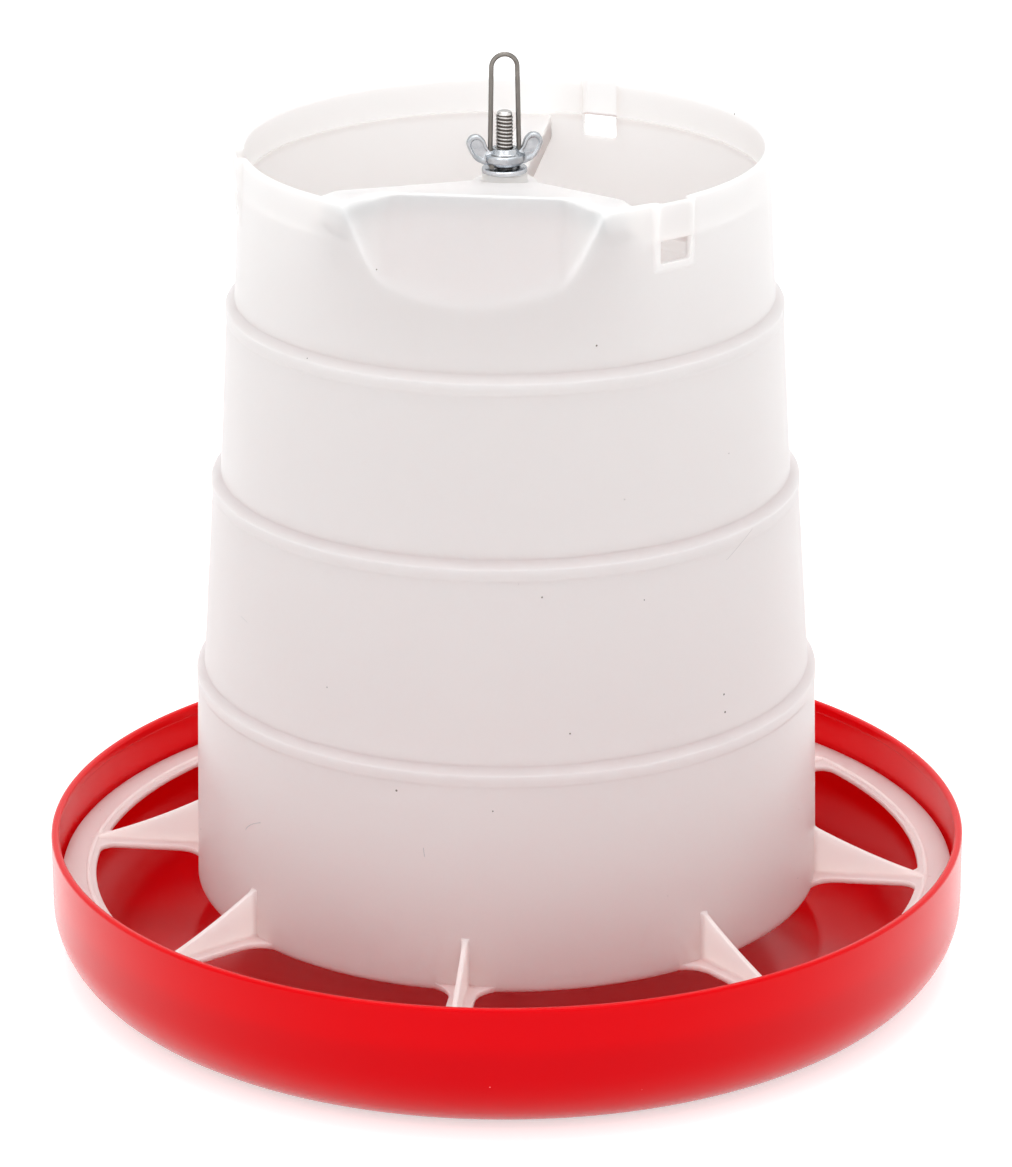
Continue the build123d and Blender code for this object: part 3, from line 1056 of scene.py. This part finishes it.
def new_finish(name, roughness, metallic=0.0):
    """Material with one plain shader."""
    material = bpy.data.materials.new(name)
    material.use_nodes = True
    tree = material.node_tree
    shader = tree.nodes["Principled BSDF"]
    shader.inputs["Roughness"].default_value = roughness
    shader.inputs["Metallic"].default_value = metallic
    return material, tree, shader


def raise_grain(tree, shader, height, distance, strength):
    """Makes a fine relief from a mask."""
    bump = add(tree, "ShaderNodeBump", {"Height": height, "Distance": distance, "Strength": strength})
    tree.links.new(bump.outputs[0], shader.inputs["Normal"])


def finish_milky():
    """Milky hopper plastic: light passes into it, with a few specks and scratches on it, and a painted pink
    glow of the red pan's light towards its foot.
    """
    clear, dull, painted_pan_glow = (0.985, 0.925, 0.885), (0.975, 0.91, 0.865), (0.998, 0.83, 0.78)
    scratch, speck = (0.68, 0.62, 0.59), (0.2, 0.15, 0.12)
    material, tree, shader = new_finish("Milky hopper plastic", 0.38)
    surface = place_group(tree, surface_group, Broad=22, Fine=650)
    marks = place_group(tree, marks_group, Spacing=120, Speck=0.05, Share=0.22)
    # Painted light: the pink tint that grows towards the foot, below 0.2 m, stands in for red light from
    # the pan.
    place = add(tree, "ShaderNodeTexCoord")
    height = add(tree, "ShaderNodeSeparateXYZ", {0: place.outputs["Object"]})
    reach = {"Value": height.outputs["Z"], "From Min": 0.2, "From Max": 0.035}
    low = add(tree, "ShaderNodeMapRange", reach)
    body = blend(tree, surface.outputs["Waves"], clear, dull)
    body = blend(tree, low.outputs[0], body, painted_pan_glow)
    body = blend(tree, marks.outputs["Scratches"], body, scratch)
    body = blend(tree, marks.outputs["Specks"], body, speck)
    tree.links.new(body, shader.inputs["Base Color"])
    tree.links.new(spread(tree, surface.outputs["Waves"], 0.3, 0.46), shader.inputs["Roughness"])
    raise_grain(tree, shader, surface.outputs["Grain"], 0.00004, 0.35)
    shader.inputs["Subsurface Weight"].default_value = 1.0
    shader.inputs["Subsurface Radius"].default_value = (1.0, 0.95, 0.92)
    shader.inputs["Subsurface Scale"].default_value = 0.015
    shader.inputs["Specular IOR Level"].default_value = 0.25
    return material


def finish_red():
    """Red pan plastic, glossy, a little duller where feed has rubbed it."""
    fresh, rubbed, speck = (0.61, 0.0004, 0.002), (0.57, 0.0008, 0.004), (0.78, 0.25, 0.24)
    material, tree, shader = new_finish("Red pan plastic", 0.28)
    surface = place_group(tree, surface_group, Broad=18, Fine=700)
    marks = place_group(tree, marks_group, Spacing=140, Speck=0.04, Share=0.2)
    body = blend(tree, surface.outputs["Waves"], fresh, rubbed)
    body = blend(tree, marks.outputs["Specks"], body, speck)
    tree.links.new(body, shader.inputs["Base Color"])
    tree.links.new(spread(tree, surface.outputs["Waves"], 0.15, 0.27), shader.inputs["Roughness"])
    raise_grain(tree, shader, surface.outputs["Grain"], 0.00003, 0.3)
    shader.inputs["Specular IOR Level"].default_value = 0.5
    shader.inputs["Specular Tint"].default_value = (1.0, 0.1, 0.12, 1.0)
    shader.inputs["Subsurface Weight"].default_value = 0.5
    shader.inputs["Subsurface Radius"].default_value = (1.0, 0.08, 0.06)
    shader.inputs["Subsurface Scale"].default_value = 0.012
    return material


def paint_dark_reflection(tree, color, dark):
    """Painted dark reflection: the metal's colour turns dark where it curves away from the camera, standing
    in for a dark side of a room to mirror.
    """
    away = add(tree, "ShaderNodeLayerWeight", {"Blend": 0.5})
    curve = add(tree, "ShaderNodeMath", {0: away.outputs["Facing"], 1: 2.6}, operation="POWER")
    return blend(tree, curve.outputs[0], color, dark)


def finish_metal(name, bright, dull, edge, roughness, waves, grain):
    """Plated or drawn steel, with cloudy patches, a fine grain and a painted dark reflection at its edges.
    """
    material, tree, shader = new_finish(name, roughness[1], 1.0)
    surface = place_group(tree, surface_group, Broad=waves, Fine=grain)
    cloudy = blend(tree, surface.outputs["Waves"], bright, dull)
    tree.links.new(paint_dark_reflection(tree, cloudy, edge), shader.inputs["Base Color"])
    tree.links.new(spread(tree, surface.outputs["Waves"], *roughness), shader.inputs["Roughness"])
    raise_grain(tree, shader, surface.outputs["Grain"], 0.00003, 0.4)
    return material


def finish_thread():
    """Rolled thread: painted shade makes the roots dark under bright crests, read from the distance to the
    axis.
    """
    # The root colour is painted shade in the thread's hollows, and the edge colour a painted dark
    # reflection; the crests and the rod's end keep the bright metal.
    root, crest, edge = (0.1, 0.085, 0.075), (0.78, 0.76, 0.74), (0.1, 0.09, 0.08)
    material, tree, shader = new_finish("Rolled rod steel", 0.3, 1.0)
    place = add(tree, "ShaderNodeTexCoord").outputs["Object"]
    flat = add(tree, "ShaderNodeVectorMath", {0: place, 1: (1, 1, 0)}, operation="MULTIPLY")
    radius = add(tree, "ShaderNodeVectorMath", {0: flat.outputs[0]}, operation="LENGTH")
    reach = {"Value": radius.outputs["Value"], "From Min": 0.00275, "From Max": 0.00303}
    high = add(tree, "ShaderNodeMapRange", reach)
    height = add(tree, "ShaderNodeSeparateXYZ", {0: place})
    end_start = (rod_top - 1.2) * MM
    end = add(tree, "ShaderNodeMath", {0: height.outputs["Z"], 1: end_start}, operation="GREATER_THAN")
    bright = add(tree, "ShaderNodeMath", {0: high.outputs[0], 1: end.outputs[0]}, operation="MAXIMUM")
    root_shade_bands = blend(tree, bright.outputs[0], root, crest)
    tree.links.new(paint_dark_reflection(tree, root_shade_bands, edge), shader.inputs["Base Color"])
    return material


milky = finish_milky()
red = finish_red()
# The edge colour of each metal is a painted dark reflection where its surface turns away from the camera.
zinc = finish_metal(
    "Bright zinc plate",
    bright=(0.78, 0.8, 0.83),
    dull=(0.56, 0.58, 0.62),
    edge=(0.09, 0.11, 0.13),
    roughness=(0.18, 0.34),
    waves=260,
    grain=2600,
)
cast_zinc = finish_metal(
    "Cast zinc",
    bright=(0.8, 0.82, 0.85),
    dull=(0.3, 0.33, 0.36),
    edge=(0.03, 0.045, 0.055),
    roughness=(0.16, 0.36),
    waves=260,
    grain=1800,
)
drawn = finish_metal(
    "Drawn wire steel",
    bright=(0.27, 0.25, 0.23),
    dull=(0.19, 0.175, 0.16),
    edge=(0.07, 0.06, 0.055),
    roughness=(0.32, 0.5),
    waves=300,
    grain=2200,
)
rolled = finish_thread()


# The pieces, each in its finish and on its body
def fit(piece, finish, node, body):
    """Gives a piece its finish, and its place among the part's nodes and bodies."""
    piece.name = node.capitalize()
    piece.data.materials.clear()
    piece.data.materials.append(finish)
    for face in piece.data.polygons:
        face.material_index = 0
    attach(piece, body)
    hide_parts(node)


lower_nut = rod_bottom + 3.0
under_bridge = boss_bottom - washer_thickness
fit(make_pan(), red, "pan", "base")
fit(make_hopper(milky), milky, "hopper", "hopper_body")
fit(make_rod(rolled), rolled, "threaded_rod", "base")
fit(make_pair((cone_top + washer_thickness, lower_nut), make_nut), zinc, "pan_nuts", "base")
fit(make_pair((cone_top, lower_nut + nut_height), make_washer), zinc, "pan_washers", "base")
fit(make_pair((boss_top, under_bridge), make_washer), zinc, "bridge_washers", "hopper_body")
fit(make_nut(under_bridge - nut_gap - nut_height), zinc, "bridge_nut", "bridge_nut_body")
fit(make_wing_nut(), cast_zinc, "wing_nut", "wing_nut_body")
fit(make_wire(drawn), drawn, "wire_hanger", "wing_nut_body")


# Camera at the photograph's angle
def set_camera(azimuth, pitch, roll, distance, height, lens):
    """Camera on a circle about the rod, tipped down by the pitch."""
    camera = add_piece("Camera", bpy.data.cameras.new("Camera"))
    turn = Matrix.Rotation(radians(azimuth), 4, "Z")
    place = turn @ Vector((0, -distance, height))
    aim = turn @ Matrix.Rotation(radians(90 - pitch), 4, "X") @ Matrix.Rotation(radians(roll), 4, "Z")
    camera.matrix_world = Matrix.Translation(place) @ aim
    camera.data.lens = lens
    camera.data.sensor_width = 36
    camera.data.clip_start = 0.05
    camera.data.clip_end = 50
    bpy.context.scene.camera = camera


set_camera(azimuth=7.4, pitch=20.35, roll=-0.19, distance=1.6774, height=0.7628, lens=153.64)


# Studio: pale floor, white surroundings and large soft lamps
def add_lamp(name, place, target, width, height, watts):
    """Soft rectangular lamp turned to a target."""
    lamp = bpy.data.lights.new(name, "AREA")
    lamp.shape = "RECTANGLE"
    lamp.size = width
    lamp.size_y = height
    lamp.energy = watts
    holder = add_piece(name, lamp)
    holder.location = place
    holder.rotation_euler = (Vector(target) - Vector(place)).to_track_quat("-Z", "Y").to_euler()


def looked_at(tree):
    """One where the camera, a reflection or a clear piece sees the surface, zero where it only lights."""
    path = tree.nodes.new("ShaderNodeLightPath")
    mask = path.outputs["Is Camera Ray"]
    for kind in ("Is Glossy Ray", "Is Transmission Ray"):
        mask = add(tree, "ShaderNodeMath", {0: mask, 1: path.outputs[kind]}, operation="MAXIMUM").outputs[0]
    return mask


def set_surroundings(seen, lighting):
    """White where the camera, a reflection or a clear piece sees it; a plain level as light."""
    world = bpy.data.worlds.new("Studio")
    bpy.context.scene.world = world
    world.use_nodes = True
    tree = world.node_tree
    background = tree.nodes["Background"]
    background.inputs["Color"].default_value = (1, 1, 1, 1)
    tree.links.new(spread(tree, looked_at(tree), lighting, seen), background.inputs["Strength"])


def lay_floor(radius, seen):
    """Round floor just under the pan, which takes its shadow."""
    mesh = bpy.data.meshes.new("floor")
    bm = bmesh.new()
    bmesh.ops.create_circle(bm, cap_ends=True, segments=96, radius=radius)
    bmesh.ops.translate(bm, verts=bm.verts, vec=(0, 0, -0.0005))
    bm.to_mesh(mesh)
    bm.free()
    floor = add_piece("floor", mesh)
    material, tree, shader = new_finish("Pale studio floor", 0.9)
    shader.inputs["Base Color"].default_value = (0.8, 0.8, 0.8, 1)
    shader.inputs["Specular IOR Level"].default_value = 0.0
    shader.inputs["Emission Color"].default_value = (1, 1, 1, 1)
    tree.links.new(spread(tree, looked_at(tree), 0.0, seen), shader.inputs["Emission Strength"])
    floor.data.materials.append(material)


set_surroundings(seen=1.0, lighting=0.96)
lay_floor(radius=8.0, seen=0.55)
add_lamp("Left lamp", (-0.7, -1.9, 1.3), (0, 0, 0.1), width=1.2, height=1.6, watts=6)
add_lamp("Right lamp", (0.8, -1.8, 1.2), (0, 0, 0.1), width=1.2, height=1.6, watts=6)
add_lamp("Top lamp", (0, 0.2, 2.2), (0, 0, 0), width=1.6, height=1.6, watts=18)

bpy.context.scene.view_settings.view_transform = "Standard"
